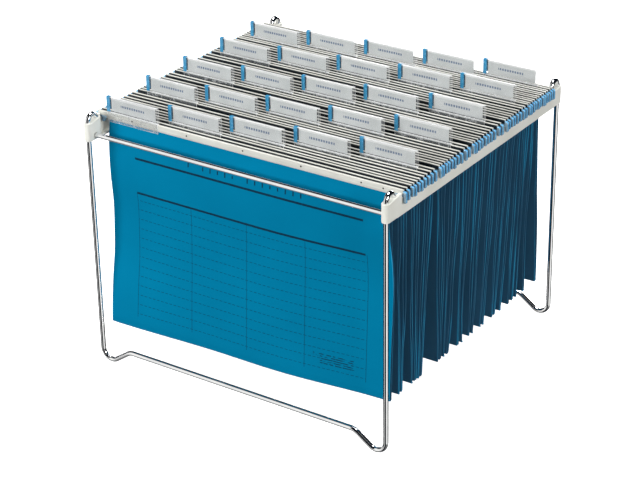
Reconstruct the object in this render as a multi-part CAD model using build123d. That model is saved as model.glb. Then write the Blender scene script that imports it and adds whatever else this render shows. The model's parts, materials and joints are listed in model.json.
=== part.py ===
from build123d import *
from math import cos, radians, sin, tan
import os

# A free-standing rack of bent wire and moulded side rails, with twenty-five A4 suspension
# files hanging on the rails. Millimetres, +X to the right, +Y to the rear, +Z up, and the
# origin on the floor under the middle of the rack.

# Wire end frames
WIRE_D = 5.0
LEG_SPAN_X = 334.0
LEG_SPAN_Y = 317.5
FOOT_BEND = 10.5
FOOT_RISE_ANGLE = 35.0
LOW_WIRE_Z = 16.8
KNEE_BEND = 13.0
HAIRPIN_PITCH = 12.5
HAIRPIN_TOP_Z = 264.5
HAIRPIN_END_Z = 249.0
FIT_GAP = 0.05

# Cross rods, held between the two strands of each hairpin
ROD_Z = 244.0
ROD_REACH = 168.0
ROD_MOUTH_R = 3.6
ROD_MOUTH_DEPTH = 0.8

# Side rails with a corner clip moulded at each end
RAIL_BOTTOM_Z = 239.3
RAIL_TOP_Z = 256.0
RAIL_THICKNESS = 3.0
FLANGE_WIDTH = 5.0
FLANGE_THICKNESS = 2.2
CLIP_R = 4.0
CLIP_TUBE_TOP_Z = 257.5
STOP_LENGTH = 20.0
STOP_TOP_Z = 260.3
STOP_SLOT = 1.0
STOP_SLOT_BOTTOM_Z = 250.0
CLIP_EDGE = 0.6
RAIL_EDGE = 0.8

# Suspension files: spacing from one file's front bar to the next one's
FIRST_BAR_Y = -136.5
PITCHES = [
    12.5, 10.0, 11.5, 12.0, 15.0, 9.5, 10.0, 11.0, 14.0, 15.0, 9.5, 11.5,
    11.5, 14.5, 15.0, 10.5, 10.5, 12.0, 11.5, 9.0, 9.0, 9.0, 9.0, 9.0,
]
LAST_BAR_GAP = 4.2
BAR_GAP_SHARE = 0.45
BAR_GAP_MOST = 6.0

# Where each file's bottom fold hangs, front to back: the cards lean on one another
FOLD_YS = [
    -147.0, -121.5, -116.0, -98.0, -92.5, -87.0, -82.0, -50.5, -45.5, -38.5, -33.0, -12.5,
    -7.0, 9.5, 14.8, 31.0, 36.5, 54.5, 60.0, 71.0, 86.0, 96.0, 101.5, 118.5, 143.5,
]
FRONT_PANEL_BOW = 4.0

# Card
CARD_HALF_WIDTH = 158.0
CARD_THICKNESS = 0.5
CARD_FOLD_R = 1.2
CARD_BOTTOM_Z = 43.0

# Top bars
BAR_THICKNESS = 2.4
BAR_BOTTOM_Z = 256.0
BAR_TOP_Z = 263.0
BAR_SHOULDER_X = 162.0
BAR_SLOT_TOP_Z = 260.0
BAR_SLOT_GAP = 0.1
BAR_TONGUE_END_X = 168.4
BAR_TONGUE_BOTTOM_Z = 258.6

# Hooks
HOOK_THICKNESS = 3.0
HOOK_REACH = 174.2
HOOK_SHOULDER_R = 4.0
HOOK_NOSE_INNER_X = 171.4
HOOK_NOSE_TIP_Z = 250.6
HOOK_NOTCH_INNER_X = 167.6
HOOK_NOTCH_TOP_Z = 256.4
HOOK_LOBE_Z = 252.0
HOOK_LOBE_R = 1.8

# Index tabs
TAB_COLUMNS = 5
TAB_FIRST_X = -129.0
TAB_STEP_X = 64.2
TAB_WIDTH = 60.0
TAB_TOP_Z = 279.5
TAB_SKIRT_Z = 253.8
TAB_WALL = 0.6
LABEL_THICKNESS = 0.35
LABEL_BOTTOM_Z = 265.3
LABEL_TOP_Z = 278.6
INDEX_STRIP_WIDTH = 4.6

WIRE_R = WIRE_D / 2
LEG_X = LEG_SPAN_X / 2
LEG_Y = LEG_SPAN_Y / 2
HAIRPIN_R = HAIRPIN_PITCH / 2
ROD_Y = LEG_Y - HAIRPIN_R
HOLE_R = WIRE_R + FIT_GAP
RAIL_OUTER_X = LEG_X + CLIP_R
RAIL_INNER_X = RAIL_OUTER_X - RAIL_THICKNESS
STOP_END_Y = LEG_Y - STOP_LENGTH
FILE_COUNT = len(FOLD_YS)


def bar_ys(number):
    """Y of the front bar and the rear bar of one file, counted from 0 at the front."""
    front = FIRST_BAR_Y + sum(PITCHES[:number])
    if number < len(PITCHES):
        gap = min(BAR_GAP_SHARE * PITCHES[number], BAR_GAP_MOST)
    else:
        gap = LAST_BAR_GAP
    return front, front + gap


def swept_wire(path):
    section = Plane(origin=path @ 0, z_dir=path % 0) * Circle(WIRE_R)
    return sweep(section, path=path)


def wire_frame():
    """The front end frame: two feet, two legs and a hairpin at the top of each leg."""
    angle = radians(FOOT_RISE_ANGLE)
    foot_centre_z = WIRE_R + FOOT_BEND
    rise_start_x = LEG_X - FOOT_BEND * (1 + sin(angle))
    rise_start_z = foot_centre_z - FOOT_BEND * cos(angle)
    corner_z = rise_start_z - (LEG_X - rise_start_x) * tan(angle)
    knee_x = rise_start_x - (LOW_WIRE_Z - rise_start_z) / tan(angle)
    hairpin_z = HAIRPIN_TOP_Z - HAIRPIN_R
    outline = FilletPolyline(
        (-LEG_X, hairpin_z),
        (-LEG_X, corner_z),
        (-knee_x, LOW_WIRE_Z),
        (knee_x, LOW_WIRE_Z),
        (LEG_X, corner_z),
        (LEG_X, hairpin_z),
        radius=[FOOT_BEND, KNEE_BEND, KNEE_BEND, FOOT_BEND],
    )
    frame = swept_wire(Pos(0, -LEG_Y, 0) * (Plane.XZ * outline))
    for side in (-1, 1):
        over = Edge.make_three_point_arc(
            Vector(side * LEG_X, -LEG_Y, hairpin_z),
            Vector(side * LEG_X, -LEG_Y + HAIRPIN_R, HAIRPIN_TOP_Z),
            Vector(side * LEG_X, -LEG_Y + HAIRPIN_PITCH, hairpin_z),
        )
        down_length = hairpin_z - HAIRPIN_END_Z
        down = Pos(side * LEG_X, -LEG_Y + HAIRPIN_PITCH, HAIRPIN_END_Z) * Cylinder(
            WIRE_R, down_length, align=(Align.CENTER, Align.CENTER, Align.MIN)
        )
        frame += swept_wire(Wire([over]))
        frame += down
    return frame


def cross_rod():
    """The front cross rod."""
    return Pos(0, -ROD_Y, ROD_Z) * (Rot(0, 90, 0) * Cylinder(WIRE_R, 2 * ROD_REACH))


def clip_block(y_leg, inward, top_line):
    """Tube round the leg joined to the hairpin's socket, seen from above as a stadium,
    and cut off along a line of (y, z) points."""
    y_socket = y_leg + inward * HAIRPIN_PITCH
    plan = Pos(LEG_X, (y_leg + y_socket) / 2) * (
        Rot(0, 0, 90) * SlotCenterToCenter(HAIRPIN_PITCH, 2 * CLIP_R)
    )
    block = Pos(0, 0, RAIL_BOTTOM_Z) * extrude(plan, STOP_TOP_Z - RAIL_BOTTOM_Z)
    block = fillet(block.edges().group_by(Axis.Z)[0], CLIP_EDGE)
    return block - above(top_line)


def above(top_line):
    """Everything over a line of (y, z) points, right across a clip."""
    high_z = STOP_TOP_Z + CLIP_R
    ends = [(top_line[-1][0], high_z), (top_line[0][0], high_z)]
    outline = make_face(Polyline(*top_line, *ends, close=True))
    return Pos(LEG_X - 2 * CLIP_R, 0, 0) * extrude(Plane.YZ * outline, 4 * CLIP_R)


def plate(y_low, y_high, z_high):
    """A length of the rail's upright plate."""
    return Pos(RAIL_INNER_X, y_low, RAIL_BOTTOM_Z) * Box(
        RAIL_THICKNESS,
        y_high - y_low,
        z_high - RAIL_BOTTOM_Z,
        align=(Align.MIN, Align.MIN, Align.MIN),
    )


def side_rail():
    """The right-hand rail, with its two corner clips."""
    plate_y = LEG_Y - HAIRPIN_PITCH
    front_line = [
        (-LEG_Y - 2 * CLIP_R, CLIP_TUBE_TOP_Z),
        (-LEG_Y, CLIP_TUBE_TOP_Z),
        (-STOP_END_Y, STOP_TOP_Z),
    ]
    rear_line = [
        (STOP_END_Y, RAIL_TOP_Z),
        (LEG_Y - HAIRPIN_R, RAIL_TOP_Z),
        (LEG_Y, CLIP_TUBE_TOP_Z),
        (LEG_Y + 2 * CLIP_R, CLIP_TUBE_TOP_Z),
    ]
    main = plate(-plate_y, plate_y, RAIL_TOP_Z)
    rail = fillet(main.edges().filter_by(Axis.Y).group_by(Axis.Z)[-1], RAIL_EDGE)
    rail += plate(-plate_y, -STOP_END_Y, STOP_TOP_Z) - above(front_line)
    rail += Pos(RAIL_INNER_X, 0, RAIL_BOTTOM_Z) * Box(
        FLANGE_WIDTH,
        2 * plate_y,
        FLANGE_THICKNESS,
        align=(Align.MAX, Align.CENTER, Align.MIN),
    )
    rail += clip_block(-LEG_Y, 1, front_line)
    rail += clip_block(LEG_Y, -1, rear_line)
    rail -= Pos(LEG_X, -STOP_END_Y, STOP_SLOT_BOTTOM_Z) * Box(
        3 * CLIP_R, STOP_SLOT, STOP_LENGTH, align=(Align.CENTER, Align.MIN, Align.MIN)
    )
    on_base = (Align.CENTER, Align.CENTER, Align.MIN)
    for y_leg, inward in ((-LEG_Y, 1), (LEG_Y, -1)):
        y_socket = y_leg + inward * HAIRPIN_PITCH
        y_rod = y_leg + inward * HAIRPIN_R
        rail -= Pos(LEG_X, y_leg, RAIL_TOP_Z) * Cylinder(HOLE_R, 4 * STOP_LENGTH)
        socket = Cylinder(HOLE_R, 2 * STOP_LENGTH, align=on_base)
        rail -= Pos(LEG_X, y_socket, HAIRPIN_END_Z - 1) * socket
        bore = Rot(0, -90, 0) * Cylinder(HOLE_R, 4 * CLIP_R, align=on_base)
        rail -= Pos(ROD_REACH + FIT_GAP, y_rod, ROD_Z) * bore
        mouth = Rot(0, -90, 0) * Cylinder(ROD_MOUTH_R, 2 * CLIP_R, align=on_base)
        rail -= Pos(LEG_X - CLIP_R + ROD_MOUTH_DEPTH, y_rod, ROD_Z) * mouth
    return rail


def file_card(number):
    """One sheet of card folded at the bottom, its two edges up inside the bars."""
    front_y, rear_y = bar_ys(number)
    fold_y = FOLD_YS[number]
    half = CARD_THICKNESS / 2
    fold_r = CARD_FOLD_R - half
    fold_z = CARD_BOTTOM_Z + CARD_FOLD_R
    front_top = Vector(front_y, BAR_SLOT_TOP_Z)
    front_low = Vector(fold_y - fold_r, fold_z)
    rear_low = Vector(fold_y + fold_r, fold_z)
    rear_top = Vector(rear_y, BAR_SLOT_TOP_Z)
    neck_front = Vector(front_y, BAR_BOTTOM_Z)
    neck_rear = Vector(rear_y, BAR_BOTTOM_Z)
    if number == 0:
        middle = (neck_front + front_low) * 0.5 - Vector(FRONT_PANEL_BOW, 0)
        front_panel = ThreePointArc(neck_front, middle, front_low)
    else:
        front_panel = Line(neck_front, front_low)
    centre_line = Line(front_top, neck_front) + front_panel
    centre_line += ThreePointArc(front_low, (fold_y, fold_z - fold_r), rear_low)
    centre_line += Line(rear_low, neck_rear) + Line(neck_rear, rear_top)
    section = trace(centre_line, line_width=CARD_THICKNESS)
    return Pos(-CARD_HALF_WIDTH, 0, 0) * extrude(Plane.YZ * section, 2 * CARD_HALF_WIDTH)


def top_bar(y):
    """A bar slotted along its underside for the card's edge, with a shallow tongue at each end
    lying on top of the hook."""
    height = BAR_TOP_Z - BAR_BOTTOM_Z
    slot_height = BAR_SLOT_TOP_Z - BAR_BOTTOM_Z
    slot_width = CARD_THICKNESS + 2 * BAR_SLOT_GAP
    from_below = (Align.CENTER, Align.CENTER, Align.MIN)
    bar = Box(2 * BAR_SHOULDER_X, BAR_THICKNESS, height, align=from_below)
    bar += Pos(0, 0, BAR_TONGUE_BOTTOM_Z - BAR_BOTTOM_Z) * Box(
        2 * BAR_TONGUE_END_X, BAR_THICKNESS, BAR_TOP_Z - BAR_TONGUE_BOTTOM_Z, align=from_below
    )
    bar -= Box(2 * BAR_SHOULDER_X, slot_width, slot_height, align=from_below)
    return Pos(0, y, BAR_BOTTOM_Z) * bar


def hook(y, side):
    """A hook at one end of a bar, under its tongue, notched to sit on the rail's top edge."""
    nose_r = (HOOK_REACH - HOOK_NOSE_INNER_X) / 2
    nose_z = HOOK_NOSE_TIP_Z + nose_r
    shoulder = HOOK_SHOULDER_R * (1 - cos(radians(45)))
    edge = Polyline(
        (BAR_SHOULDER_X, BAR_TONGUE_BOTTOM_Z),
        (BAR_TONGUE_END_X, BAR_TONGUE_BOTTOM_Z),
        (BAR_TONGUE_END_X, BAR_TOP_Z),
        (HOOK_REACH - HOOK_SHOULDER_R, BAR_TOP_Z),
    )
    edge += ThreePointArc(
        (HOOK_REACH - HOOK_SHOULDER_R, BAR_TOP_Z),
        (HOOK_REACH - shoulder, BAR_TOP_Z - shoulder),
        (HOOK_REACH, BAR_TOP_Z - HOOK_SHOULDER_R),
    )
    edge += Line((HOOK_REACH, BAR_TOP_Z - HOOK_SHOULDER_R), (HOOK_REACH, nose_z))
    edge += ThreePointArc(
        (HOOK_REACH, nose_z),
        (HOOK_REACH - nose_r, HOOK_NOSE_TIP_Z),
        (HOOK_NOSE_INNER_X, nose_z),
    )
    edge += Polyline(
        (HOOK_NOSE_INNER_X, nose_z),
        (HOOK_NOSE_INNER_X, HOOK_NOTCH_TOP_Z),
        (HOOK_NOTCH_INNER_X, HOOK_NOTCH_TOP_Z),
        (HOOK_NOTCH_INNER_X, HOOK_LOBE_Z + HOOK_LOBE_R),
    )
    edge += ThreePointArc(
        (HOOK_NOTCH_INNER_X, HOOK_LOBE_Z + HOOK_LOBE_R),
        (HOOK_NOTCH_INNER_X - HOOK_LOBE_R, HOOK_LOBE_Z),
        (HOOK_NOTCH_INNER_X - 2 * HOOK_LOBE_R, HOOK_LOBE_Z + HOOK_LOBE_R),
    )
    edge += Polyline(
        (HOOK_NOTCH_INNER_X - 2 * HOOK_LOBE_R, HOOK_LOBE_Z + HOOK_LOBE_R),
        (BAR_SHOULDER_X, BAR_BOTTOM_Z),
        (BAR_SHOULDER_X, BAR_TONGUE_BOTTOM_Z),
    )
    plate = extrude(Plane.XZ * make_face(edge), HOOK_THICKNESS / 2, both=True)
    if side < 0:
        plate = mirror(plate, Plane.YZ)
    return Pos(0, y, 0) * plate


def tab_pieces(number):
    """Clear tab holder, its label and the coloured index strip at its left end."""
    front_y = bar_ys(number)[0]
    face_y = front_y - BAR_THICKNESS / 2
    back_y = front_y + BAR_THICKNESS / 2
    left = TAB_FIRST_X + (number % TAB_COLUMNS) * TAB_STEP_X - TAB_WIDTH / 2
    outer = make_face(Polyline(
        (face_y - TAB_WALL, TAB_SKIRT_Z),
        (face_y, TAB_SKIRT_Z),
        (face_y, BAR_TOP_Z),
        (back_y, BAR_TOP_Z),
        (back_y, TAB_TOP_Z),
        (face_y - TAB_WALL, TAB_TOP_Z),
        close=True,
    ))
    pocket = make_face(Polyline(
        (face_y, BAR_TOP_Z + TAB_WALL),
        (back_y - TAB_WALL, BAR_TOP_Z + TAB_WALL),
        (back_y - TAB_WALL, TAB_TOP_Z - TAB_WALL),
        (face_y, TAB_TOP_Z - TAB_WALL),
        close=True,
    ))
    holder = Pos(left, 0, 0) * extrude(Plane.YZ * (outer - pocket), TAB_WIDTH)
    from_corner = (Align.MIN, Align.MIN, Align.MIN)
    label_left = left + INDEX_STRIP_WIDTH + 0.4
    label = Pos(label_left, face_y + FIT_GAP, LABEL_BOTTOM_Z) * Box(
        left + TAB_WIDTH - label_left,
        LABEL_THICKNESS,
        LABEL_TOP_Z - LABEL_BOTTOM_Z,
        align=from_corner,
    )
    strip = Pos(left, face_y + FIT_GAP, LABEL_BOTTOM_Z) * Box(
        INDEX_STRIP_WIDTH,
        BAR_THICKNESS - TAB_WALL - 2 * FIT_GAP,
        LABEL_TOP_Z - LABEL_BOTTOM_Z,
        align=from_corner,
    )
    return [holder, label, strip]


def file_hanger(number):
    """The two bars of one file with their four hooks and the index tab."""
    pieces = tab_pieces(number)
    for y in bar_ys(number):
        pieces += [top_bar(y), hook(y, -1), hook(y, 1)]
    return Compound(children=[piece.solids()[0] for piece in pieces])


def sub_parts():
    front_frame = wire_frame()
    front_rod = cross_rod()
    right_rail = side_rail()
    nodes = {
        "front_wire_frame": front_frame,
        "rear_wire_frame": mirror(front_frame, Plane.XZ),
        "front_cross_rod": front_rod,
        "rear_cross_rod": mirror(front_rod, Plane.XZ),
        "right_rail": right_rail,
        "left_rail": mirror(right_rail, Plane.YZ),
    }
    for number in range(FILE_COUNT):
        nodes[f"card_{number + 1:02d}"] = file_card(number)
        nodes[f"hanger_{number + 1:02d}"] = file_hanger(number)
    return nodes


if __name__ == "__main__":
    os.makedirs("parts", exist_ok=True)
    for name, shape in sub_parts().items():
        export_step(shape, f"parts/{name}.step")
        print(name, len(shape.solids()), round(shape.volume, 1))
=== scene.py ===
import json
from math import cos, pi, radians, sin

import bmesh
import bpy
from mathutils import Matrix, Vector, noise

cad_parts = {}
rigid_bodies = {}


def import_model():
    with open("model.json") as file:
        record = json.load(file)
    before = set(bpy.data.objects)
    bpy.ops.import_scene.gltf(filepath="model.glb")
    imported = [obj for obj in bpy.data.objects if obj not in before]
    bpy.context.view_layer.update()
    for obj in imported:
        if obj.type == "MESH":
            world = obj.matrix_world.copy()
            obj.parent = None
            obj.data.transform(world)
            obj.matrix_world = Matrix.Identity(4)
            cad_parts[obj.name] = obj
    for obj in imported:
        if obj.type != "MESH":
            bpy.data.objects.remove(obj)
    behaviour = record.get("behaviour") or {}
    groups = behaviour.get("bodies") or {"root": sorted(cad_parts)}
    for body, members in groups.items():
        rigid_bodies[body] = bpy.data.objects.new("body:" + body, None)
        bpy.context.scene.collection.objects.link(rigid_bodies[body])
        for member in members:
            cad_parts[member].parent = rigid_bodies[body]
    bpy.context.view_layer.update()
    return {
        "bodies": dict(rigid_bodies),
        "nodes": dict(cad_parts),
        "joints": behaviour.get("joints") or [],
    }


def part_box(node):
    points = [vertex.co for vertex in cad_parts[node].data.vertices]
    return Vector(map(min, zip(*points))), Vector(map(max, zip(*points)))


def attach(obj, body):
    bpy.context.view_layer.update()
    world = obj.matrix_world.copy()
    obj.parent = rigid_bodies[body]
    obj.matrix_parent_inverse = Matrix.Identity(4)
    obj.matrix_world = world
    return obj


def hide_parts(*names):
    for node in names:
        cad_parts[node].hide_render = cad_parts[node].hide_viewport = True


# A hanging file rack: the CAD wires, rods and rails keep their shape and take a finish here,
# and the files' cards, bars, hooks, tabs, labels and strips are built around the CAD boxes.
# Lengths are in millimetres, and MM turns them into metres. The materials, the camera and
# the lights take metres, as Blender does, and so do the names that end in _M.

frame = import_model()

MM = 0.001

# Card
CARD_THICKNESS = 0.42
CARD_HALF_WIDTH = 158.0
CARD_TOP_Z = 259.6
CARD_NECK_Z = 255.5
FOLD_R = 1.0
FOLD_STEPS = 6
ACROSS_STEPS = 44
DOWN_STEPS = 30
WARP_SHARE = 0.42
WARP_MOST = 5.0
WARP_START = 40.0
WARP_FOLD_REACH = 60.0
WARP_COMMON = 0.6
WARP_OWN = 0.4
WARP_FRONT_CARD = 0.3
WAVE_ACROSS = 0.0052
WAVE_DOWN = 0.0125
WAVE_GAIN = 1.7
END_SLACK = 2.4
SLACK_KEPT = 0.2
EDGE_DRIFT = 0.9

# How far the foremost card curls, towards the rear where positive
CURL_RIGHT = 10.5
CURL_LOW_LEFT = -4.6
CURL_MID_LEFT = 2.0
CURL_SHOULDER = -2.3
CURL_REAR_SHARE = 0.6

# Seeds of the smooth noise; each file adds its own number
OWN_WARP_SEED = 100
HOOK_DROOP_SEED = 200
HOOK_REACH_SEED = 300
EDGE_DRIFT_SEED = 400

# Bars
BAR_THICKNESS = 2.4
BAR_BOTTOM_Z = 256.0
BAR_TOP_Z = 263.0
BAR_SHOULDER_X = 162.0
BAR_END_X = 171.3
BAR_TONGUE_BOTTOM_Z = 258.6
BAR_ROUND = 0.85
BAR_GROOVE_Z = 261.3
BAR_GROOVE_DEPTH = 0.18
BAR_GROOVE_HALF = 0.25
BAR_FOOT_IN = 0.2
BAR_FOOT_UP = 0.3
BAR_SLOT_HALF = 0.35
BAR_SLOT_TOP_Z = 260.0
PIN_XS = (-130.0, -65.5, -1.0, 63.5, 128.0, 151.0)
PIN_Z = 259.7
PIN_R = 0.85
PIN_HEIGHT = 0.25
PIN_SIDES = 10
PIN_PROFILE = ((1.0, -0.1), (1.0, 0.35), (0.8, 0.75), (0.45, 0.97))

# Hooks
HOOK_THICKNESS = 3.0
HOOK_SHOWN_THICKNESS = 2.7
HOOK_EDGE = 0.35
HOOK_REACH = 174.2
HOOK_TOP_Z = 261.2
HOOK_SHOULDER_R = 2.0
HOOK_NOSE_INNER_X = 171.7
HOOK_NOSE_TIP_Z = 251.3
HOOK_NOTCH_INNER_X = 167.6
HOOK_NOTCH_TOP_Z = 256.4
HOOK_LOBE_Z = 252.0
HOOK_LOBE_R = 1.8
HOOK_ROOT_X = BAR_SHOULDER_X - 1.2
HOOK_ROOT_CHAMFER = 0.9
HOOK_ROOT_GAP = 0.05
HOOK_LAP = 0.1
HOOK_NOTCH_OUTER_R = 0.8
HOOK_NOTCH_INNER_R = 0.6
HOOK_DROOP_MOST = 1.2
HOOK_REACH_MOST = 0.7
HOOK_REACH_FADE = 2.0

# Index tabs
TAB_WIDTH = 60.0
TAB_FIRST_X = -129.0
TAB_STEP_X = 64.2
TAB_COLUMNS = 5
TAB_WALL = 0.6
TAB_TOP_Z = 279.5
TAB_SKIRT_Z = 253.8
TAB_ROUND = 0.5
TAB_FOOT_ROUND = 0.25
TAB_BAR_GAP = 0.05
TAB_CREASES = ((BAR_TOP_Z + 0.1, 0.12), (257.9, 0.14))
TAB_CREASE_HALF = 0.5
LABEL_THICKNESS = 0.3
LABEL_BOTTOM_Z = 265.3
LABEL_TOP_Z = 278.8
LABEL_LEFT_GAP = 0.9
LABEL_RIGHT_GAP = 2.2
LABEL_FACE_GAP = 0.08
LABEL_BOW = 0.35
LABEL_ACROSS_STEPS = 16
LABEL_UP_STEPS = 4
STRIP_WIDTH = 4.0
STRIP_WALL = 0.3
STRIP_ROUND = 0.55
STRIP_GAP = 0.02
STRIP_EDGE = 0.12
STRIP_OVERHANG = 0.4
STRIP_BACK_Z = 266.0
STRIP_FRONT_Z = 264.4

# Blues of the card, deep and bright. The foremost face has its own blue; every other card face
# takes a darker, greyer copy of it, painted shade for the cards inside the stack
SHADED_BLUES = (0.036, 0.130, 0.235), (0.042, 0.150, 0.27)
FRONT_BLUES = (0.0, 0.164, 0.308), (0.0, 0.180, 0.334)

# The card's print, in metres
PRINT_SOFT_M = 0.00012
RULE_ZS_M = (0.2235, 0.1873)
RULE_HALF_M = 0.00105
RULE_SPAN_M = (-0.1265, 0.1305)
TICK_START_M, TICK_PITCH_M, TICK_HALF_M = -0.0631, 0.0085, 0.00062
TICK_SPAN_M = (-0.066, 0.0668)
TICK_GAPS_M = (-0.0546, -0.0036)
TICK_GAP_HALF_M = 0.002
TICK_Z_M = 0.2313
TICK_HEIGHTS_M = (0.0015, 0.0026)
BLOCK_START_M, BLOCK_PITCH_M, BLOCK_HALF_M = 0.0742, 0.0023, 0.0004
BLOCK_Z_SPAN_M = (0.0632, 0.0746)
BLOCK_LEFT_LOW_M, BLOCK_LEFT_HIGH_M = 0.084, 0.0765
BLOCK_STEP_SPAN_M = (0.0712, 0.0718)
BLOCK_RIGHT_M, BLOCK_RAGGED_M = 0.112, 0.014
COLUMN_START_M, COLUMN_PITCH_M, COLUMN_HALF_M = 0.0028, 0.0646, 0.00020
COLUMN_X_SPAN_M, COLUMN_Z_SPAN_M = (-0.128, 0.1335), (0.0560, 0.1873)
ROW_START_M, ROW_PITCH_M, ROW_HALF_M = 0.1792, 0.00996, 0.00024
ROW_X_SPAN_M, ROW_Z_SPAN_M = (-0.1264, 0.132), (0.0565, 0.1812)
DASH_PITCH_M, DASH_HALF_M = 0.0050, 0.0016
FORM_STRENGTH = 0.78

# Black flags that polished metal reflects. Bearings are in radians from straight out of the
# photo's view, growing to the right, and heights run from -1 underfoot to 1 overhead.
LEFT_FLAG = {"centre": -0.46, "half_width": 0.52, "soft": 0.08}
RIGHT_FLAG = {"centre": 1.3, "half_width": 1.0, "soft": 0.1}
SIDE_FLAG = {"centre": 2.1, "half_width": 0.74, "soft": 0.06}
SIDE_FLAG_HEIGHT = {"centre": -0.45, "half_width": 0.1, "soft": 0.04}
RIGHT_FLAG_FOOT = (-0.36, -0.28)
REAR_FLAG_FADE = (-0.2, -0.05)
UNDERFOOT_FADE = (-0.66, -0.56)
UNDERFOOT_DARK = 0.8
CEILING_FADE = (0.72, 0.8)


# ---------------------------------------------------------------- materials
class Shader:
    """A Principled material and short calls for the nodes that feed it."""

    def __init__(self, name, **values):
        self.material = bpy.data.materials.new(name)
        self.material.use_nodes = True
        self.tree = self.material.node_tree
        self.principled = self.tree.nodes["Principled BSDF"]
        for key, value in values.items():
            self.principled.inputs[key.replace("_", " ")].default_value = value
        coords = self.tree.nodes.new("ShaderNodeTexCoord")
        self.position = coords.outputs["Object"]
        self.facing = coords.outputs["Normal"]
        self.split = None
        self.split_facing = None

    def node(self, kind, **settings):
        made = self.tree.nodes.new(kind)
        for key, value in settings.items():
            setattr(made, key, value)
        return made

    def plug(self, socket, value):
        if isinstance(value, bpy.types.NodeSocket):
            self.tree.links.new(value, socket)
        else:
            socket.default_value = value

    def feed(self, name, value):
        self.plug(self.principled.inputs[name], value)

    def axis(self, letter):
        """One coordinate of the object's own position, in metres."""
        if self.split is None:
            self.split = self.node("ShaderNodeSeparateXYZ")
            self.plug(self.split.inputs[0], self.position)
        return self.split.outputs[letter]

    def faces(self, letter):
        """How squarely the surface faces along one axis, from -1 to 1."""
        if self.split_facing is None:
            self.split_facing = self.node("ShaderNodeSeparateXYZ")
            self.plug(self.split_facing.inputs[0], self.facing)
        return self.split_facing.outputs[letter]

    def square_to(self, letter, least=0.6, full=0.85):
        """1 on surfaces square to an axis, either way."""
        return self.spread(self.math("ABSOLUTE", self.faces(letter)), 0.0, 1.0, least, full)

    def math(self, operation, *values):
        made = self.node("ShaderNodeMath", operation=operation)
        for socket, value in zip(made.inputs, values):
            self.plug(socket, value)
        return made.outputs[0]

    def product(self, first, *others):
        for value in others:
            first = self.math("MULTIPLY", first, value)
        return first

    def highest(self, first, *others):
        for value in others:
            first = self.math("MAXIMUM", first, value)
        return first

    def distance(self, value, centre):
        return self.math("ABSOLUTE", self.math("SUBTRACT", value, centre))

    def mottle(self, value, first, second, low=0.3, high=0.7):
        """Runs from the first colour to the second as a value goes from low to high."""
        return self.blend(self.spread(value, 0.0, 1.0, low, high), first, second)

    def scaled(self, stretch):
        made = self.node("ShaderNodeMapping")
        self.plug(made.inputs["Vector"], self.position)
        made.inputs["Scale"].default_value = stretch
        return made.outputs[0]

    def noise(self, scale, detail=2.0, roughness=0.5, stretch=None):
        made = self.node("ShaderNodeTexNoise")
        self.plug(made.inputs["Vector"], self.scaled(stretch) if stretch else self.position)
        made.inputs["Scale"].default_value = scale
        made.inputs["Detail"].default_value = detail
        made.inputs["Roughness"].default_value = roughness
        return made.outputs["Fac"]

    def spread(self, value, low, high, from_low=0.0, from_high=1.0):
        made = self.node("ShaderNodeMapRange", clamp=True)
        self.plug(made.inputs["Value"], value)
        made.inputs["From Min"].default_value = from_low
        made.inputs["From Max"].default_value = from_high
        made.inputs["To Min"].default_value = low
        made.inputs["To Max"].default_value = high
        return made.outputs["Result"]

    def blend(self, share, first, second):
        made = self.node("ShaderNodeMix", data_type="RGBA")
        self.plug(made.inputs["Factor"], share)
        self.plug(made.inputs["A"], (*first, 1) if isinstance(first, tuple) else first)
        self.plug(made.inputs["B"], (*second, 1) if isinstance(second, tuple) else second)
        return made.outputs["Result"]

    def bump(self, height, strength, distance):
        made = self.node("ShaderNodeBump")
        made.inputs["Strength"].default_value = strength
        made.inputs["Distance"].default_value = distance
        self.plug(made.inputs["Height"], height)
        self.feed("Normal", made.outputs["Normal"])

    def openness(self, reach, closed, clear):
        """0 where the surface is crowded by others within reach, 1 where it is clear."""
        made = self.node("ShaderNodeAmbientOcclusion", samples=12)
        made.inputs["Distance"].default_value = reach
        return self.spread(made.outputs["AO"], 0.0, 1.0, closed, clear)

    def near(self, value, centre, half_width, soft):
        """1 within half_width of centre, falling to 0 over soft."""
        off = self.distance(value, centre)
        return self.spread(off, 1.0, 0.0, half_width, half_width + soft)

    def repeat(self, value, start, pitch):
        """Distance from the nearest of evenly spaced lines."""
        turns = self.math("DIVIDE", self.math("SUBTRACT", value, start), pitch)
        nearest = self.math("SUBTRACT", turns, self.math("ROUND", turns))
        return self.math("MULTIPLY", self.math("ABSOLUTE", nearest), pitch)

    def between(self, value, low, high):
        above = self.math("GREATER_THAN", value, low)
        below = self.math("LESS_THAN", value, high)
        return self.product(above, below)


def chrome():
    s = Shader("chrome_plate", Metallic=1.0)
    haze = s.noise(55.0, 4.0, 0.6)
    rub = s.noise(900.0, 3.0, 0.6, stretch=(1.0, 1.0, 0.25))
    s.feed("Base Color", s.mottle(haze, (0.74, 0.75, 0.77), (0.84, 0.84, 0.85), 0.35, 0.65))
    dulled = s.spread(haze, 0.03, 0.09, 0.3, 0.7)
    rubbed = s.spread(rub, 0.0, 0.04, 0.55, 0.75)
    s.feed("Roughness", s.math("ADD", dulled, rubbed))
    s.bump(s.noise(140.0, 2.0), 0.08, 0.0004)
    return s.material


def rail_plastic():
    s = Shader("rail_plastic", IOR=1.46)
    cloud = s.noise(28.0, 3.0)
    grain = s.noise(1500.0, 2.0)
    s.feed("Base Color", s.mottle(cloud, (0.79, 0.79, 0.72), (0.86, 0.86, 0.80), 0.35, 0.65))
    s.feed("Roughness", s.spread(grain, 0.34, 0.5, 0.3, 0.7))
    s.bump(s.math("ADD", s.math("MULTIPLY", grain, 0.35), cloud), 0.12, 0.0006)
    return s.material


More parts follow.
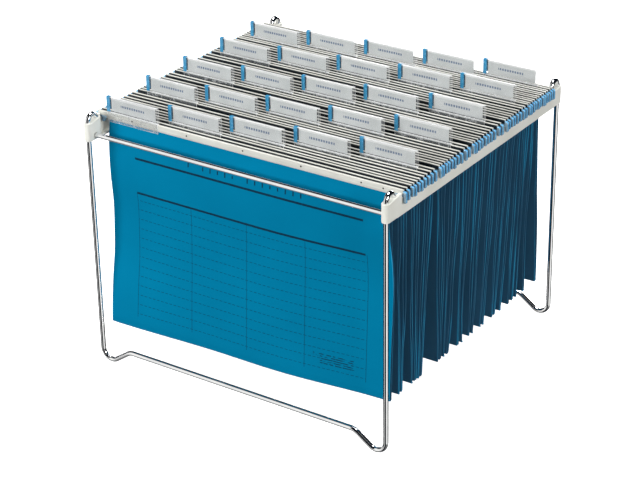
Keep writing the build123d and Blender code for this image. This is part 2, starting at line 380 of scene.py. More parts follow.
def card_nodes(s, deep, bright, paint):
    """Dyed card, paler in patches along its cut edges and its fold; paint adds what is printed."""
    fibre = s.noise(900.0, 4.0, 0.65, stretch=(1.0, 1.0, 0.6))
    cloud = s.noise(14.0, 3.0)
    tone = s.mottle(cloud, deep, bright)
    tone = s.blend(s.spread(fibre, 0.0, 0.15, 0.45, 0.8), tone, (0.012, 0.24, 0.44))
    edge = s.spread(s.math("ABSOLUTE", s.axis("X")), 0.0, 0.85, 0.1574, 0.15795)
    fold = s.spread(s.axis("Z"), 0.55, 0.0, 0.0432, 0.0446)
    patchy = s.spread(s.noise(170.0, 1.0, stretch=(0.0, 1.0, 0.05)), 0.1, 1.0, 0.42, 0.6)
    pale_edges = s.product(s.highest(edge, fold), patchy)
    tone = s.blend(pale_edges, tone, (0.04, 0.40, 0.72))
    s.feed("Base Color", paint(tone))
    s.feed("Roughness", s.spread(fibre, 0.62, 0.82, 0.3, 0.7))
    s.bump(fibre, 0.18, 0.00025)


def card_plain():
    s = Shader("card_blue", IOR=1.4, Specular_IOR_Level=0.12)
    card_nodes(s, *SHADED_BLUES, lambda tone: tone)
    return s.material


def card_printed(name, deep, bright):
    """A card's front: two heavy rules, a dashed form and short plain marks, with no lettering."""
    s = Shader(name, IOR=1.4, Specular_IOR_Level=0.05)
    x, z = s.axis("X"), s.axis("Z")

    def lines(value, start, pitch, half):
        return s.near(s.repeat(value, start, pitch), 0.0, half, PRINT_SOFT_M)

    def rule(centre):
        return s.product(s.near(z, centre, RULE_HALF_M, PRINT_SOFT_M), s.between(x, *RULE_SPAN_M))

    rules = s.highest(*[rule(centre) for centre in RULE_ZS_M])

    ticks = s.product(
        lines(x, TICK_START_M, TICK_PITCH_M, TICK_HALF_M), s.between(x, *TICK_SPAN_M)
    )
    for gap in TICK_GAPS_M:
        ticks = s.product(ticks, s.math("GREATER_THAN", s.distance(x, gap), TICK_GAP_HALF_M))
    tall = s.spread(s.noise(70.0, 0.0), *TICK_HEIGHTS_M, 0.35, 0.65)
    ticks = s.product(ticks, s.math("LESS_THAN", s.distance(z, TICK_Z_M), tall))

    block_left = s.spread(z, BLOCK_LEFT_LOW_M, BLOCK_LEFT_HIGH_M, *BLOCK_STEP_SPAN_M)
    ragged = s.product(s.noise(600.0, 0.0, stretch=(0.0, 0.0, 1.0)), BLOCK_RAGGED_M)
    block = s.product(
        lines(z, BLOCK_START_M, BLOCK_PITCH_M, BLOCK_HALF_M),
        s.between(z, *BLOCK_Z_SPAN_M),
        s.math("GREATER_THAN", s.noise(330.0, 0.0, stretch=(1.0, 0.05, 2.0)), 0.42),
        s.math("GREATER_THAN", x, block_left),
        s.math("LESS_THAN", x, s.math("ADD", BLOCK_RIGHT_M, ragged)),
    )

    columns = s.product(
        lines(x, COLUMN_START_M, COLUMN_PITCH_M, COLUMN_HALF_M),
        s.between(x, *COLUMN_X_SPAN_M), s.between(z, *COLUMN_Z_SPAN_M),
    )
    rows = s.product(
        lines(z, ROW_START_M, ROW_PITCH_M, ROW_HALF_M),
        s.math("LESS_THAN", s.repeat(x, COLUMN_START_M, DASH_PITCH_M), DASH_HALF_M),
        s.between(x, *ROW_X_SPAN_M), s.between(z, *ROW_Z_SPAN_M),
    )
    form = s.product(s.highest(columns, rows), FORM_STRENGTH)

    wear = s.spread(s.noise(2200.0, 2.0), 0.72, 1.0, 0.3, 0.5)
    ink = s.product(s.highest(rules, ticks, block, form), wear)
    card_nodes(s, deep, bright, lambda tone: s.blend(ink, tone, (0.006, 0.022, 0.045)))
    return s.material


def bar_plastic(front_y, rear_y):
    """Ivory bars. The flanks that face another bar, below the rounded top, are painted near-black
    as shade in the gaps between the files.
    """
    s = Shader("bar_ivory", IOR=1.5)
    streak = s.noise(420.0, 3.0, 0.6, stretch=(0.02, 1.0, 1.0))
    cloud = s.noise(35.0, 2.0)
    tone = s.mottle(cloud, (0.56, 0.555, 0.505), (0.64, 0.64, 0.59))
    tone = s.blend(s.spread(streak, 0.0, 0.3, 0.5, 0.75), tone, (0.40, 0.39, 0.34))
    y, toward = s.axis("Y"), s.faces("Y")
    below_top = s.spread(s.axis("Z"), 1.0, 0.0, 0.2623, 0.2629)
    painted_shade_flank = s.product(s.square_to("Y", 0.32, 0.62), below_top)
    foremost = s.product(s.math("LESS_THAN", y, front_y), s.math("LESS_THAN", toward, 0.0))
    rearmost = s.product(s.math("GREATER_THAN", y, rear_y), s.math("GREATER_THAN", toward, 0.0))
    hidden = s.math("SUBTRACT", 1.0, s.highest(foremost, rearmost))
    # Painted shade: the flanks between the outermost faces go near-black, standing in for shadow
    # between the bars.
    s.feed("Base Color", s.blend(s.product(painted_shade_flank, hidden), tone, (0.005, 0.010, 0.015)))
    s.feed("Roughness", s.spread(streak, 0.2, 0.38, 0.3, 0.7))
    s.bump(streak, 0.1, 0.0003)
    return s.material


def pin_metal():
    s = Shader("pin_dark", Metallic=0.8)
    mottled = s.noise(2500.0, 3.0)
    s.feed("Base Color", s.blend(mottled, (0.02, 0.018, 0.015), (0.09, 0.08, 0.07)))
    s.feed("Roughness", s.spread(mottled, 0.35, 0.6))
    return s.material


def hook_plastic():
    s = Shader("hook_blue", IOR=1.49, Coat_Weight=0.35, Coat_Roughness=0.12)
    cloud = s.noise(260.0, 3.0)
    rub = s.noise(1800.0, 2.0)
    tone = s.mottle(cloud, (0.06, 0.32, 0.64), (0.20, 0.55, 0.86))
    tone = s.blend(s.product(s.square_to("Y"), 0.6), tone, (0.66, 0.80, 0.84))
    # Painted shade: where neighbouring hooks crowd close, the blue goes dark.
    s.feed("Base Color", s.blend(s.openness(0.008, 0.3, 0.8), (0.006, 0.06, 0.15), tone))
    s.feed("Roughness", s.spread(rub, 0.16, 0.3, 0.3, 0.7))
    s.bump(cloud, 0.12, 0.0003)
    return s.material


def tab_plastic():
    """Clear film: hardly there over the label. Over the bar, thin wavy streaks are painted pale and
    more opaque as highlights, and the cut edges get the same painted highlight.
    """
    s = Shader("tab_clear", IOR=1.5)
    swirl = s.noise(95.0, 3.0, 0.6, stretch=(0.5, 1.0, 1.0))
    glint_streak = s.spread(s.distance(swirl, 0.5), 1.0, 0.0, 0.004, 0.022)
    skirt = s.spread(s.axis("Z"), 1.0, 0.0, 0.2634, 0.2646)
    glinting_edge = s.highest(s.square_to("X"), s.square_to("Z"))
    bright = s.product(glint_streak, skirt)
    lit = s.highest(s.product(bright, 0.5), glinting_edge)
    # Painted highlight: the streaks over the bar and the cut edges go pale.
    s.feed("Base Color", s.blend(lit, (0.50, 0.53, 0.54), (0.93, 0.94, 0.94)))
    alpha = s.math("ADD", 0.06, s.product(bright, 0.28))
    alpha = s.math("ADD", alpha, s.product(skirt, 0.12))
    s.feed("Alpha", s.math("ADD", alpha, s.product(glinting_edge, 0.5)))
    s.feed("Roughness", s.spread(swirl, 0.04, 0.14, 0.3, 0.7))
    s.bump(swirl, 0.3, 0.001)
    return s.material


def strip_film():
    s = Shader("strip_blue", IOR=1.5, Coat_Weight=0.25, Coat_Roughness=0.1)
    cloud = s.noise(300.0, 3.0)
    s.feed("Base Color", s.mottle(cloud, (0.025, 0.20, 0.38), (0.05, 0.28, 0.49)))
    s.feed("Roughness", s.spread(cloud, 0.18, 0.32, 0.3, 0.7))
    s.bump(cloud, 0.1, 0.0003)
    return s.material


def label_paper():
    """Pale grey paper with one row of plain dashes along its middle, in place of any words."""
    s = Shader("label_paper", IOR=1.4, Specular_IOR_Level=0.25)
    fibre = s.noise(1600.0, 4.0, 0.65)
    cloud = s.noise(60.0, 2.0)
    tone = s.mottle(cloud, (0.47, 0.49, 0.49), (0.54, 0.56, 0.56))
    tone = s.blend(s.spread(fibre, 0.0, 0.1, 0.5, 0.8), tone, (0.62, 0.62, 0.62))
    chart = s.node("ShaderNodeUVMap", uv_map="place")
    parts = s.node("ShaderNodeSeparateXYZ")
    s.plug(parts.inputs[0], chart.outputs["UV"])
    along, up = parts.outputs["X"], parts.outputs["Y"]
    tone = s.blend(s.spread(up, 0.0, 0.6, 0.88, 0.9), tone, (0.80, 0.80, 0.79))
    row = s.near(up, 0.5, 0.075, 0.02)
    dash = s.math("LESS_THAN", s.repeat(along, 0.0, 0.052), 0.018)
    ink = s.product(row, dash, s.between(along, 0.21, 0.74), 0.85)
    s.feed("Base Color", s.blend(ink, tone, (0.07, 0.12, 0.22)))
    s.feed("Roughness", s.spread(fibre, 0.55, 0.75, 0.3, 0.7))
    s.bump(fibre, 0.12, 0.0002)
    return s.material


CHROME = chrome()
RAIL = rail_plastic()
# Painted shade: every card face but the foremost takes the darker, greyer blues.
CARD = card_plain()
CARD_PRINTED = card_printed("card_blue_printed", *SHADED_BLUES)
CARD_FRONT = card_printed("card_blue_front", *FRONT_BLUES)
PIN = pin_metal()
HOOK = hook_plastic()
TAB = tab_plastic()
LABEL = label_paper()
STRIP = strip_film()


# ---------------------------------------------------------------- geometry
def finished(name, mesh_or_bm, materials, body, replaced, sharp=35.0):
    """Makes the object, shades it, and sets it riding."""
    if isinstance(mesh_or_bm, bmesh.types.BMesh):
        mesh = bpy.data.meshes.new(name)
        bmesh.ops.recalc_face_normals(mesh_or_bm, faces=mesh_or_bm.faces)
        mesh_or_bm.to_mesh(mesh)
        mesh_or_bm.free()
    else:
        mesh = mesh_or_bm
    for material in materials:
        mesh.materials.append(material)
    mesh.shade_smooth()
    mesh.set_sharp_from_angle(angle=radians(sharp))
    piece = bpy.data.objects.new(name, mesh)
    bpy.context.scene.collection.objects.link(piece)
    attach(piece, body)
    if replaced:
        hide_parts(replaced)


def smooth(t):
    t = min(max(t, 0.0), 1.0)
    return t * t * (3 - 2 * t)


def arc(centre, radius, start, end, steps):
    """Points of a circular arc, angles in degrees."""
    angles = [radians(start + (end - start) * k / steps) for k in range(steps + 1)]
    return [(centre[0] + radius * cos(t), centre[1] + radius * sin(t)) for t in angles]


def prism(bm, outline, low, high, place, edge, segments):
    """Extrudes a closed outline between two levels and rounds its rims.

    place turns (a, b, level) into x, y, z.
    """
    rings = []
    for level in (low, high):
        rings.append([bm.verts.new([c * MM for c in place(a, b, level)]) for a, b in outline])
    faces = [bm.faces.new(rings[0][::-1]), bm.faces.new(rings[1])]
    count = len(outline)
    for k in range(count):
        after = (k + 1) % count
        faces.append(bm.faces.new((rings[0][k], rings[0][after], rings[1][after], rings[1][k])))
    bmesh.ops.recalc_face_normals(bm, faces=faces)
    rim = list({e for f in faces[:2] for e in f.edges})
    bmesh.ops.bevel(
        bm, geom=rim, offset=edge * MM, segments=segments, profile=0.5, affect="EDGES"
    )


def bar_outline(y):
    """A bar's section, with a groove along each face and a slot below for the card."""
    half = BAR_THICKNESS / 2
    top = arc((y + half - BAR_ROUND, BAR_TOP_Z - BAR_ROUND), BAR_ROUND, 0, 90, 5)
    top += arc((y - half + BAR_ROUND, BAR_TOP_Z - BAR_ROUND), BAR_ROUND, 90, 180, 5)
    left = [
        (y - half, BAR_GROOVE_Z + BAR_GROOVE_HALF),
        (y - half + BAR_GROOVE_DEPTH, BAR_GROOVE_Z),
        (y - half, BAR_GROOVE_Z - BAR_GROOVE_HALF),
        (y - half, BAR_BOTTOM_Z + BAR_FOOT_UP),
        (y - half + BAR_FOOT_IN, BAR_BOTTOM_Z),
    ]
    slot_side = [
        (y - BAR_SLOT_HALF, BAR_BOTTOM_Z), (y - BAR_SLOT_HALF, BAR_SLOT_TOP_Z),
        (y + BAR_SLOT_HALF, BAR_SLOT_TOP_Z), (y + BAR_SLOT_HALF, BAR_BOTTOM_Z),
    ]
    right = [
        (y + half - BAR_FOOT_IN, BAR_BOTTOM_Z),
        (y + half, BAR_BOTTOM_Z + BAR_FOOT_UP),
        (y + half, BAR_GROOVE_Z - BAR_GROOVE_HALF),
        (y + half - BAR_GROOVE_DEPTH, BAR_GROOVE_Z),
        (y + half, BAR_GROOVE_Z + BAR_GROOVE_HALF),
    ]
    return top + left + slot_side + right


def pin(bm, x, y_face):
    """A small domed pin head standing on a bar's front face."""
    rings = []
    for radius, lift in PIN_PROFILE:
        rings.append([
            bm.verts.new(((x + PIN_R * radius * cos(2 * pi * k / PIN_SIDES)) * MM,
                          (y_face - PIN_HEIGHT * lift) * MM,
                          (PIN_Z + PIN_R * radius * sin(2 * pi * k / PIN_SIDES)) * MM))
            for k in range(PIN_SIDES)
        ])
    for inner, outer in zip(rings[1:], rings):
        for k in range(PIN_SIDES):
            after = (k + 1) % PIN_SIDES
            bm.faces.new((outer[k], outer[after], inner[after], inner[k])).material_index = 1
    bm.faces.new(rings[-1]).material_index = 1
    bm.faces.new(rings[0][::-1]).material_index = 1


def hook_outline(side, droop, reach):
    """A hook's outline seen from the front; droop lowers its nose and reach pushes it out."""
    nose_r = (HOOK_REACH - HOOK_NOSE_INNER_X) / 2
    nose = (HOOK_REACH - nose_r, HOOK_NOSE_TIP_Z - droop + nose_r)
    shoulder = (HOOK_REACH - HOOK_SHOULDER_R, HOOK_TOP_Z - HOOK_SHOULDER_R)
    notch_outer = (HOOK_NOSE_INNER_X - HOOK_NOTCH_OUTER_R, HOOK_NOTCH_TOP_Z - HOOK_NOTCH_OUTER_R)
    notch_inner = (HOOK_NOTCH_INNER_X + HOOK_NOTCH_INNER_R, HOOK_NOTCH_TOP_Z - HOOK_NOTCH_INNER_R)
    lobe = (HOOK_NOTCH_INNER_X - HOOK_LOBE_R, HOOK_LOBE_Z + HOOK_LOBE_R)
    neck_x = BAR_END_X - HOOK_LAP
    points = [(HOOK_ROOT_X, BAR_TONGUE_BOTTOM_Z), (neck_x, BAR_TONGUE_BOTTOM_Z)]
    points += [(neck_x, HOOK_TOP_Z), (shoulder[0], HOOK_TOP_Z)]
    points += arc(shoulder, HOOK_SHOULDER_R, 90, 0, 8)[1:]
    points += arc(nose, nose_r, 0, -180, 8)
    points += arc(notch_outer, HOOK_NOTCH_OUTER_R, 0, 90, 3)
    points += arc(notch_inner, HOOK_NOTCH_INNER_R, 90, 180, 3)
    points += arc(lobe, HOOK_LOBE_R, 0, -180, 8)
    points += [(BAR_SHOULDER_X + HOOK_ROOT_GAP, BAR_BOTTOM_Z)]
    points += [(HOOK_ROOT_X, BAR_BOTTOM_Z + HOOK_ROOT_CHAMFER)]
    return [(side * (x + reach * smooth((x - BAR_END_X) / HOOK_REACH_FADE)), z) for x, z in points]


def tab_outline(y):
    """A tab's section: up the rear, over the top, and down in front past the bar's face."""
    face, back = y - BAR_THICKNESS / 2, y + BAR_THICKNESS / 2
    front = face - TAB_WALL
    top, foot = TAB_TOP_Z - TAB_ROUND, TAB_SKIRT_Z + TAB_FOOT_ROUND
    outer = arc((back - TAB_ROUND, top), TAB_ROUND, 0, 90, 4)
    outer += arc((front + TAB_ROUND, top), TAB_ROUND, 90, 180, 4)
    for z, proud in TAB_CREASES:
        outer += [(front, z + TAB_CREASE_HALF), (front - proud, z), (front, z - TAB_CREASE_HALF)]
    outer += arc((front + TAB_FOOT_ROUND, foot), TAB_FOOT_ROUND, 180, 270, 2)
    outer += arc((face - TAB_FOOT_ROUND, foot), TAB_FOOT_ROUND, 270, 360, 2)
    outer += [(face, BAR_TOP_Z + TAB_BAR_GAP), (back, BAR_TOP_Z + TAB_BAR_GAP)]
    return outer


def tab_pocket(y):
    """The hole through a tab that the label slides into."""
    face, back = y - BAR_THICKNESS / 2, y + BAR_THICKNESS / 2
    return [
        (face, BAR_TOP_Z + TAB_WALL), (back - TAB_WALL, BAR_TOP_Z + TAB_WALL),
        (back - TAB_WALL, TAB_TOP_Z - TAB_WALL), (face, TAB_TOP_Z - TAB_WALL),
    ]


def along_x(a, b, level):
    return level, a, b


def along_y(a, b, level):
    return a, level, b


def tube_prism(bm, outer, inner, low, high):
    """An extrusion with a hole through it, its end faces bridged between the two outlines."""
    loops = []
    for level in (low, high):
        for outline in (outer, inner):
            loops.append([bm.verts.new([c * MM for c in along_x(a, b, level)]) for a, b in outline])
    outer_low, inner_low, outer_high, inner_high = loops
    walls = ((outer_low, outer_high, False), (inner_low, inner_high, True))
    for ring_low, ring_high, flip in walls:
        count = len(ring_low)
        for k in range(count):
            after = (k + 1) % count
            quad = (ring_low[k], ring_low[after], ring_high[after], ring_high[k])
            bm.faces.new(quad[::-1] if flip else quad)
    for outside, inside in ((outer_low, inner_low), (outer_high, inner_high)):
        edges = []
        for ring in (outside, inside):
            for k in range(len(ring)):
                edges.append(bm.edges.get((ring[k], ring[(k + 1) % len(ring)])))
        bmesh.ops.triangle_fill(bm, edges=edges, use_beauty=True)


# ---------------------------------------------------------------- where each file hangs
FILES = sorted(name for name in frame["bodies"] if name.startswith("file_"))
RANGES = {j["child"]: [v / MM for v in j["range_m"]] for j in frame["joints"]}


class Place:
    """Where one file hangs, read off its CAD nodes, in millimetres."""

    def __init__(self, index, body):
        self.index, self.body, self.tag = index, body, body[-2:]
        low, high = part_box("hanger_" + self.tag)
        self.front = low.y / MM + BAR_THICKNESS / 2 + TAB_WALL
        self.rear = high.y / MM - HOOK_THICKNESS / 2
        vertices = [v.co for v in frame["nodes"]["card_" + self.tag].data.vertices]
        bottom = min(v.z for v in vertices)
        lowest = [v.y for v in vertices if v.z < bottom + 0.2 * MM]
        self.fold = sum(lowest) / len(lowest) / MM
        self.fold_z = bottom / MM + CARD_THICKNESS / 2 + FOLD_R

    def line(self, z, side):
        """Y of a flat panel's middle surface at a height; side is -1 in front, 1 behind."""
        bar = self.front if side < 0 else self.rear
        share = min(max((CARD_NECK_Z - z) / (CARD_NECK_Z - self.fold_z), 0.0), 1.0)
        return bar + (self.fold + side * FOLD_R - bar) * share


PLACES = [Place(index, body) for index, body in enumerate(FILES)]
BAR = bar_plastic(PLACES[0].front * MM, PLACES[-1].rear * MM)


def slack(index, z):
    """Room between the panels of a file and the next one, less the slide between them."""
    if index < 0 or index >= len(PLACES) - 1:
        return END_SLACK
    here, after = PLACES[index], PLACES[index + 1]
    gap = after.line(z, -1) - here.line(z, 1) - CARD_THICKNESS
    return max(gap - RANGES[here.body][1] - SLACK_KEPT, 0.0)


def wave(seed, x, z):
    """Smooth noise from -1 to 1; the seed's two factors keep the files' patterns apart."""
    value = noise.noise(Vector((x * WAVE_ACROSS + 17.3 * seed, z * WAVE_DOWN, 5.7 * seed)))
    return max(-1.0, min(1.0, WAVE_GAIN * value))


def front_card_shift(x, z):
    """The foremost card curls back at its right and forward at its lower left."""
    u = x / CARD_HALF_WIDTH
    down = smooth((CARD_NECK_Z - z) / 110.0)
    middle = smooth((200.0 - z) / 40.0) * smooth((z - 90.0) / 40.0)
    upper = smooth((CARD_NECK_Z - z) / 25.0) * smooth((z - 170.0) / 50.0)
    right = CURL_RIGHT * smooth((u - 0.05) / 0.95) ** 1.3 * down
    low_left = CURL_LOW_LEFT * smooth((120.0 - z) / 80.0) * smooth((-u - 0.15) / 0.85)
    mid_left = CURL_MID_LEFT * smooth(-u) * middle
    return right + low_left + mid_left + CURL_SHOULDER * upper


def panel_y(place, x, z, side):
    """Y of a warped panel's middle surface; the warp stays inside the room beside it."""
    start = smooth((CARD_NECK_Z - z) / WARP_START)
    before, after = slack(place.index - 1, z), slack(place.index, z)
    inside = max(place.line(z, 1) - place.line(z, -1) - CARD_THICKNESS, 0.0)
    beside = before if side < 0 else after
    own_room = min(WARP_SHARE * WARP_OWN * beside, WARP_SHARE * inside)
    own = wave(OWN_WARP_SEED + 2 * place.index + side, x, z) * own_room
    open_share = smooth((z - place.fold_z) / WARP_FOLD_REACH)
    if place.index == 0:
        shift = front_card_shift(x, z)
        front = place.line(z, -1) + start * open_share * WARP_FRONT_CARD * own + shift
        if side < 0:
            return front
        return max(place.line(z, side) + shift * CURL_REAR_SHARE, front + 2 * FOLD_R)
    lean = wave(place.index + 1, x, z)
    room = after if lean > 0 else before
    common = lean * min(WARP_SHARE * WARP_COMMON * room, WARP_MOST)
    return place.line(z, side) + start * (common + open_share * own)


def card_point(place, x, z, side, turn):
    """A point of the sheet's middle surface; turn is its angle round the fold, if any."""
    drift = EDGE_DRIFT * wave(EDGE_DRIFT_SEED + 2 * place.index + side, 0.0, z)
    if turn is None:
        return Vector((x + drift, panel_y(place, x, z, side), z))
    front, rear = [panel_y(place, x, z, s) for s in (-1, 1)]
    middle, half = (front + rear) / 2, (rear - front) / 2
    return Vector((x + drift, middle - half * cos(turn), z - half * sin(turn)))


def thickened(grid):
    """The outer and inner surfaces of a sheet, each point moved half the thickness."""
    last_row, last_column = len(grid) - 1, len(grid[0]) - 1
    half = CARD_THICKNESS / 2
    outer, inner = [], []
    for r, line in enumerate(grid):
        for c, point in enumerate(line):
            along = grid[min(r + 1, last_row)][c] - grid[max(r - 1, 0)][c]
            across = line[min(c + 1, last_column)] - line[max(c - 1, 0)]
            normal = along.cross(across).normalized()
            outer.append((point + normal * half) * MM)
            inner.append((point - normal * half) * MM)
    return outer, inner


def card_piece(place):
    """The folded sheet: rows down the front panel, round the fold and up the rear panel."""
    levels = [CARD_TOP_Z, CARD_NECK_Z + 0.02]
    for step in range(DOWN_STEPS + 1):
        levels.append(CARD_NECK_Z + (place.fold_z - CARD_NECK_Z) * (step / DOWN_STEPS))
    rows = [(z, -1, None) for z in levels]
    rows += [(place.fold_z, 0, radians(180 * step / FOLD_STEPS)) for step in range(1, FOLD_STEPS)]
    rows += [(z, 1, None) for z in levels[::-1]]
    width = 2 * CARD_HALF_WIDTH
    xs = [-CARD_HALF_WIDTH + width * k / ACROSS_STEPS for k in range(ACROSS_STEPS + 1)]
    outer, inner = thickened([[card_point(place, x, *row) for x in xs] for row in rows])
    row_count, column_count, count = len(rows), len(xs), len(outer)
    faces, printed = [], []
    for r in range(row_count - 1):
        for c in range(column_count - 1):
            a, b = r * column_count + c, (r + 1) * column_count + c
            faces.append((a, b, b + 1, a + 1))
            faces.append((count + a, count + a + 1, count + b + 1, count + b))
            printed += [1 if r < len(levels) - 1 else 0, 0]
    for r in range(row_count - 1):
        a, b = r * column_count, (r + 1) * column_count
        faces.append((a, count + a, count + b, b))
        a, b = a + column_count - 1, b + column_count - 1
        faces.append((a, b, count + b, count + a))
        printed += [0, 0]
    last = (row_count - 1) * column_count
    for c in range(column_count - 1):
        faces.append((c, c + 1, count + c + 1, count + c))
        faces.append((last + c, count + last + c, count + last + c + 1, last + c + 1))
        printed += [0, 0]
    mesh = bpy.data.meshes.new(f"card_sheet_{place.tag}")
    mesh.from_pydata(outer + inner, [], faces)
    mesh.update()
    bm = bmesh.new()
    bm.from_mesh(mesh)
    bpy.data.meshes.remove(mesh)
    for face, index in zip(bm.faces, printed):
        face.material_index = index
    face_paint = CARD_FRONT if place.index == 0 else CARD_PRINTED
    finished(
        f"{place.body}_card", bm, [CARD, face_paint], place.body,
        "card_" + place.tag, sharp=60.0,
    )


def raised(outline):
    """A bar's section beyond its shoulder, where only the tongue is left."""
    return [(y, max(z, BAR_TONGUE_BOTTOM_Z)) for y, z in outline]


def bar(bm, y):
    """A whole bar: the full section between the shoulders and a tongue at each end."""
    full = bar_outline(y)
    tongue = raised(full)
    sections = [(-BAR_END_X, tongue), (-BAR_SHOULDER_X, tongue), (-BAR_SHOULDER_X, full)]
    sections += [(-x, outline) for x, outline in sections[::-1]]
    rings = []
    for x, outline in sections:
        rings.append([bm.verts.new((x * MM, a * MM, b * MM)) for a, b in outline])
    count = len(full)
    bm.faces.new(rings[0][::-1])
    bm.faces.new(rings[-1])
    for before, after in zip(rings, rings[1:]):
        for k in range(count):
            beyond = (k + 1) % count
            bm.faces.new((before[k], before[beyond], after[beyond], after[k]))


def bars_piece(place):
    bm = bmesh.new()
    for y in (place.front, place.rear):
        bar(bm, y)
    bmesh.ops.remove_doubles(bm, verts=bm.verts, dist=1e-7)
    bmesh.ops.dissolve_degenerate(bm, dist=1e-7, edges=bm.edges)
    for x in PIN_XS:
        pin(bm, x, place.front - BAR_THICKNESS / 2)
    finished(f"{place.body}_bars", bm, [BAR, PIN], place.body, "hanger_" + place.tag)


def hooks_piece(place):
    bm = bmesh.new()
    for y in (place.front, place.rear):
        for side in (-1, 1):
            half = HOOK_SHOWN_THICKNESS / 2
            droop = HOOK_DROOP_MOST * wave(HOOK_DROOP_SEED + place.index, 40 * y, side)
            reach = HOOK_REACH_MOST * abs(wave(HOOK_REACH_SEED + place.index, 60 * y, side))
            outline = hook_outline(side, droop, reach)
            prism(bm, outline, y - half, y + half, along_y, edge=HOOK_EDGE, segments=3)
    finished(f"{place.body}_hooks", bm, [HOOK], place.body, None, sharp=50.0)


def tab_left(place):
    return TAB_FIRST_X + (place.index % TAB_COLUMNS) * TAB_STEP_X - TAB_WIDTH / 2


def tab_piece(place):
    bm = bmesh.new()
    left = tab_left(place)
    tube_prism(bm, tab_outline(place.front), tab_pocket(place.front), left, left + TAB_WIDTH)
    finished(f"{place.body}_tab", bm, [TAB], place.body, None)


def label_piece(place):
    """A slightly bowed slip of paper, with its own chart for the marks on it."""
    left = tab_left(place) + STRIP_WIDTH + LABEL_LEFT_GAP
    right = tab_left(place) + TAB_WIDTH - LABEL_RIGHT_GAP
    y_face = place.front - BAR_THICKNESS / 2 + LABEL_FACE_GAP
    across, up = LABEL_ACROSS_STEPS, LABEL_UP_STEPS
    verts, faces, uvs = [], [], []
    for layer in (0, 1):
        for r in range(up + 1):
            for c in range(across + 1):
                s, t = c / across, r / up
                bow = LABEL_BOW * sin(pi * s) * sin(pi * t)
                verts.append((
                    (left + (right - left) * s) * MM,
                    (y_face + bow + layer * LABEL_THICKNESS) * MM,
                    (LABEL_BOTTOM_Z + (LABEL_TOP_Z - LABEL_BOTTOM_Z) * t) * MM,
                ))
                uvs.append((s, t))
    width, layer_size = across + 1, (across + 1) * (up + 1)
    for r in range(up):
        for c in range(across):
            a = r * width + c
            faces.append((a, a + 1, a + width + 1, a + width))
            b = a + layer_size
            faces.append((b, b + width, b + width + 1, b + 1))
    border = list(range(across)) + [r * width + across for r in range(up)]
    border += [up * width + c for c in range(across, 0, -1)] + [r * width for r in range(up, 0, -1)]
    for k, a in enumerate(border):
        b = border[(k + 1) % len(border)]
        faces.append((a, a + layer_size, b + layer_size, b))
    mesh = bpy.data.meshes.new(f"label_sheet_{place.tag}")
    mesh.from_pydata(verts, [], faces)
    chart = mesh.uv_layers.new(name="place")
    for loop in mesh.loops:
        chart.data[loop.index].uv = uvs[loop.vertex_index]
    mesh.update()
    finished(f"{place.body}_label", mesh, [LABEL], place.body, None)


def strip_piece(place):
    """A blue clip wrapped over the left end of the tab, open below."""
    y_front = place.front - BAR_THICKNESS / 2 - TAB_WALL
    y_back = place.front + BAR_THICKNESS / 2
    bend_z = TAB_TOP_Z + STRIP_WALL - STRIP_ROUND
    outline = [(y_back + STRIP_WALL, STRIP_BACK_Z)]
    outline += arc((y_back + STRIP_WALL - STRIP_ROUND, bend_z), STRIP_ROUND, 0, 90, 4)
    outline += arc((y_front - STRIP_WALL + STRIP_ROUND, bend_z), STRIP_ROUND, 90, 180, 4)
    inner_front, inner_back = y_front - STRIP_GAP, y_back + STRIP_GAP
    inner_top = TAB_TOP_Z + STRIP_GAP
    outline += [(y_front - STRIP_WALL, STRIP_FRONT_Z), (inner_front, STRIP_FRONT_Z)]
    outline += [(inner_front, inner_top), (inner_back, inner_top), (inner_back, STRIP_BACK_Z)]
    bm = bmesh.new()
    left = tab_left(place) - STRIP_OVERHANG
    prism(bm, outline, left, left + STRIP_WIDTH, along_x, edge=STRIP_EDGE, segments=1)
    finished(f"{place.body}_strip", bm, [STRIP], place.body, None)


for place in PLACES:
    card_piece(place)
    bars_piece(place)
    hooks_piece(place)
    tab_piece(place)
    label_piece(place)
    strip_piece(place)

for node, finish in (
    ("front_wire_frame", CHROME), ("rear_wire_frame", CHROME),
    ("front_cross_rod", CHROME), ("rear_cross_rod", CHROME),
    ("left_rail", RAIL), ("right_rail", RAIL),
):
    carried = frame["nodes"][node]
    carried.data.materials.clear()
    carried.data.materials.append(finish)


# ---------------------------------------------------------------- camera, floor and light
AZIMUTH, ELEVATION, ROLL = radians(34.11), radians(26.63), radians(-0.92)
CAMERA_M = Vector((1.0028, -1.4956, 1.0132))
LENS = 113.34

back = Vector((sin(AZIMUTH) * cos(ELEVATION), -cos(AZIMUTH) * cos(ELEVATION), sin(ELEVATION)))
right = Vector((cos(AZIMUTH), sin(AZIMUTH), 0.0))
up = back.cross(right)
rolled_right = cos(ROLL) * right + sin(ROLL) * up
rolled_up = -sin(ROLL) * right + cos(ROLL) * up
camera_data = bpy.data.cameras.new("camera")
camera_data.lens = LENS
camera_data.sensor_width = 36.0
camera_data.clip_start = 0.05
camera = bpy.data.objects.new("camera", camera_data)
bpy.context.scene.collection.objects.link(camera)
turn = Matrix((rolled_right, rolled_up, back)).transposed()
camera.matrix_world = Matrix.Translation(CAMERA_M) @ turn.to_4x4()
bpy.context.scene.camera = camera

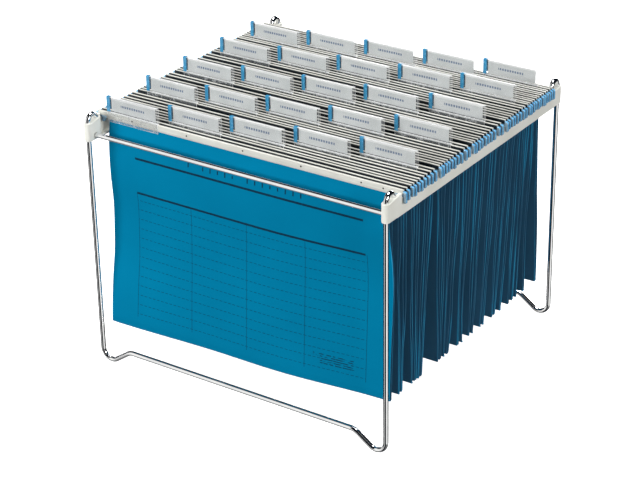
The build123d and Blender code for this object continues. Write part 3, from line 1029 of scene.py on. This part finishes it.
FLOOR_HALF_M = 9.0
FLOOR_GLOW = 0.78
floor_mesh = bpy.data.meshes.new("floor")
floor_mesh.from_pydata(
    [(-FLOOR_HALF_M, -FLOOR_HALF_M, 0), (FLOOR_HALF_M, -FLOOR_HALF_M, 0),
     (FLOOR_HALF_M, FLOOR_HALF_M, 0), (-FLOOR_HALF_M, FLOOR_HALF_M, 0)],
    [], [(0, 1, 2, 3)],
)
floor = bpy.data.objects.new("floor", floor_mesh)
bpy.context.scene.collection.objects.link(floor)
paper = Shader("floor_white", Roughness=0.9, Specular_IOR_Level=0.0)
paper.feed("Base Color", paper.blend(paper.noise(3.0, 2.0), (0.90, 0.90, 0.90), (0.94, 0.94, 0.94)))
paper.principled.inputs["Emission Color"].default_value = (1.0, 1.0, 1.0, 1.0)
paper.principled.inputs["Emission Strength"].default_value = FLOOR_GLOW
floor_mesh.materials.append(paper.material)
floor.visible_glossy = False
floor.visible_diffuse = False

LAMPS_AIM_M = Vector((0, 0, 0.15))


def softbox(name, place_m, width, height, power, mirrored=True):
    """An area light; mirrored says whether polished metal shows it."""
    lamp = bpy.data.lights.new(name, "AREA")
    lamp.shape = "RECTANGLE"
    lamp.size, lamp.size_y = width, height
    lamp.energy = power
    made = bpy.data.objects.new(name, lamp)
    bpy.context.scene.collection.objects.link(made)
    made.location = place_m
    made.rotation_mode = "QUATERNION"
    made.rotation_quaternion = (LAMPS_AIM_M - Vector(place_m)).to_track_quat("-Z", "Y")
    made.visible_glossy = mirrored


softbox("key", (-1.3, -2.3, 1.15), 1.4, 0.9, 80, mirrored=False)
softbox("side", (2.4, -0.7, 1.0), 1.2, 0.8, 38)
softbox("top", (0.1, 0.3, 2.4), 1.6, 0.9, 42)
softbox("rear", (-0.7, 2.6, 0.6), 1.6, 0.8, 44)


class Sky(Shader):
    """The studio's surroundings: pale all round, with black flags for polished metal to pick up."""

    def __init__(self, name):
        world = bpy.data.worlds.new(name)
        world.use_nodes = True
        bpy.context.scene.world = world
        self.tree = world.node_tree
        self.position = self.node("ShaderNodeTexCoord").outputs["Generated"]
        self.split = None
        self.background = self.tree.nodes["Background"]


sky = Sky("studio")
east, north, height = sky.axis("X"), sky.axis("Y"), sky.axis("Z")
across = sky.math("ADD", sky.product(east, cos(AZIMUTH)), sky.product(north, sin(AZIMUTH)))
toward = sky.math("SUBTRACT", sky.product(east, sin(AZIMUTH)), sky.product(north, cos(AZIMUTH)))
bearing = sky.math("ARCTAN2", across, toward)
left_flag = sky.near(bearing, **LEFT_FLAG)
right_flag = sky.product(
    sky.near(bearing, **RIGHT_FLAG), sky.spread(height, 0.0, 1.0, *RIGHT_FLAG_FOOT)
)
low_flag = sky.product(
    sky.near(sky.math("ABSOLUTE", bearing), **SIDE_FLAG), sky.near(height, **SIDE_FLAG_HEIGHT)
)
rear_flag = sky.product(
    sky.spread(toward, 1.0, 0.0, *REAR_FLAG_FADE), sky.spread(height, 0.0, 1.0, *REAR_FLAG_FADE)
)
underfoot = sky.spread(height, UNDERFOOT_DARK, 0.0, *UNDERFOOT_FADE)
ceiling = sky.spread(height, 0.0, 1.0, *CEILING_FADE)
dark = sky.highest(left_flag, low_flag, rear_flag, ceiling, right_flag, underfoot)
seen_in_metal = sky.blend(dark, (1.06, 1.06, 1.03), (0.008, 0.010, 0.016))
ambient = sky.mottle(height, (0.12, 0.12, 0.125), (0.22, 0.22, 0.22), -0.2, 0.9)
reflected = sky.node("ShaderNodeLightPath").outputs["Is Glossy Ray"]
sky.plug(sky.background.inputs["Color"], sky.blend(reflected, ambient, seen_in_metal))
sky.background.inputs["Strength"].default_value = 1.0

bpy.context.scene.view_settings.view_transform = "Standard"
bpy.context.scene.view_settings.look = "None"
